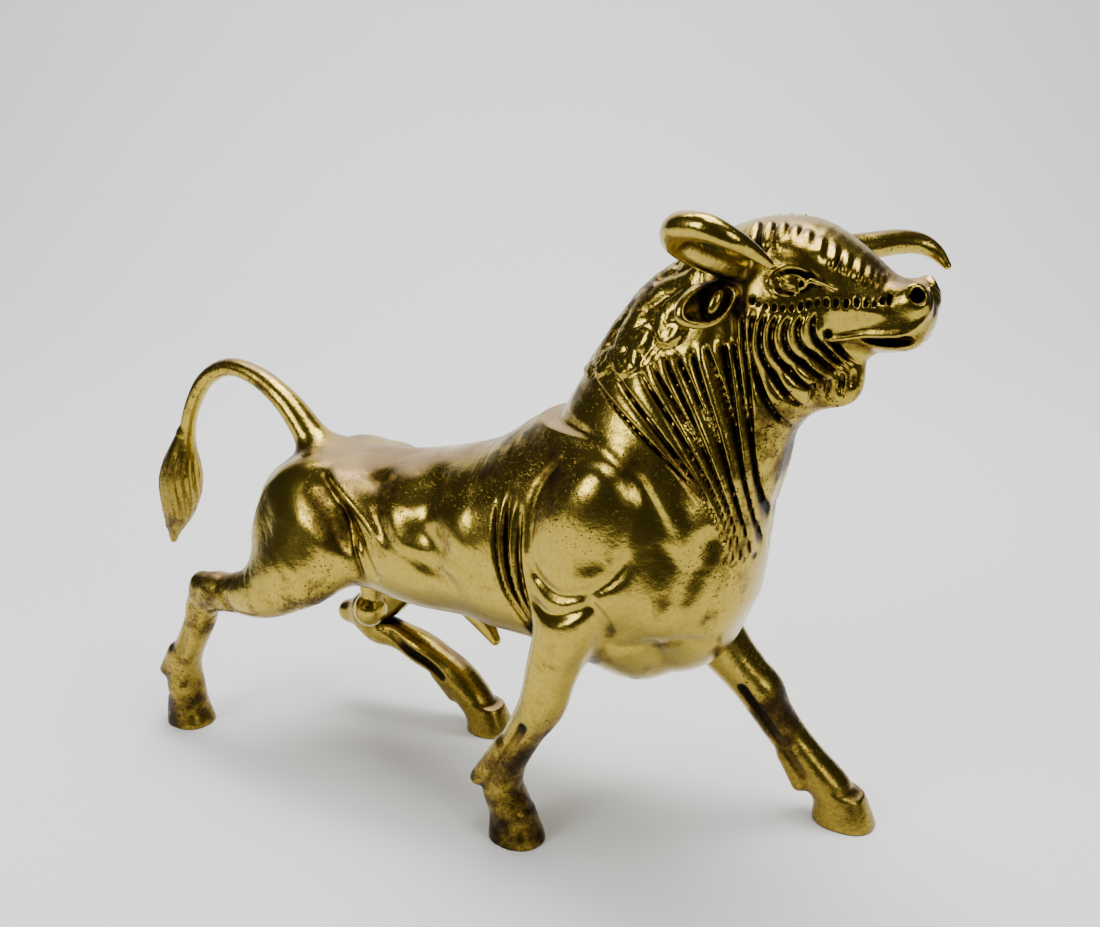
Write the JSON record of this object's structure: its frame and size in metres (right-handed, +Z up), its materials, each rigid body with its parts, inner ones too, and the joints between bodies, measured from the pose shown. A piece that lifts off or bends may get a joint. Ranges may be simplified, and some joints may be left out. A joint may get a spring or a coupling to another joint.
{
  "type": "bull figurine",
  "caption": "Striding bull with raised head, curved horns, curly mane, folded neck and looped tail, cast in one piece on its own hooves.",
  "frame": {"origin": "middle of the outline at the level of the hoof soles", "axes": "+X the way the bull walks, +Y its left side, +Z up"},
  "size_m": [0.4894, 0.1598, 0.3524],
  "materials": {
    "brass": "old polished brass with dark recesses"
  },
  "bodies": {
    "root": {"bull": "brass"}
  },
  "joints": []
}
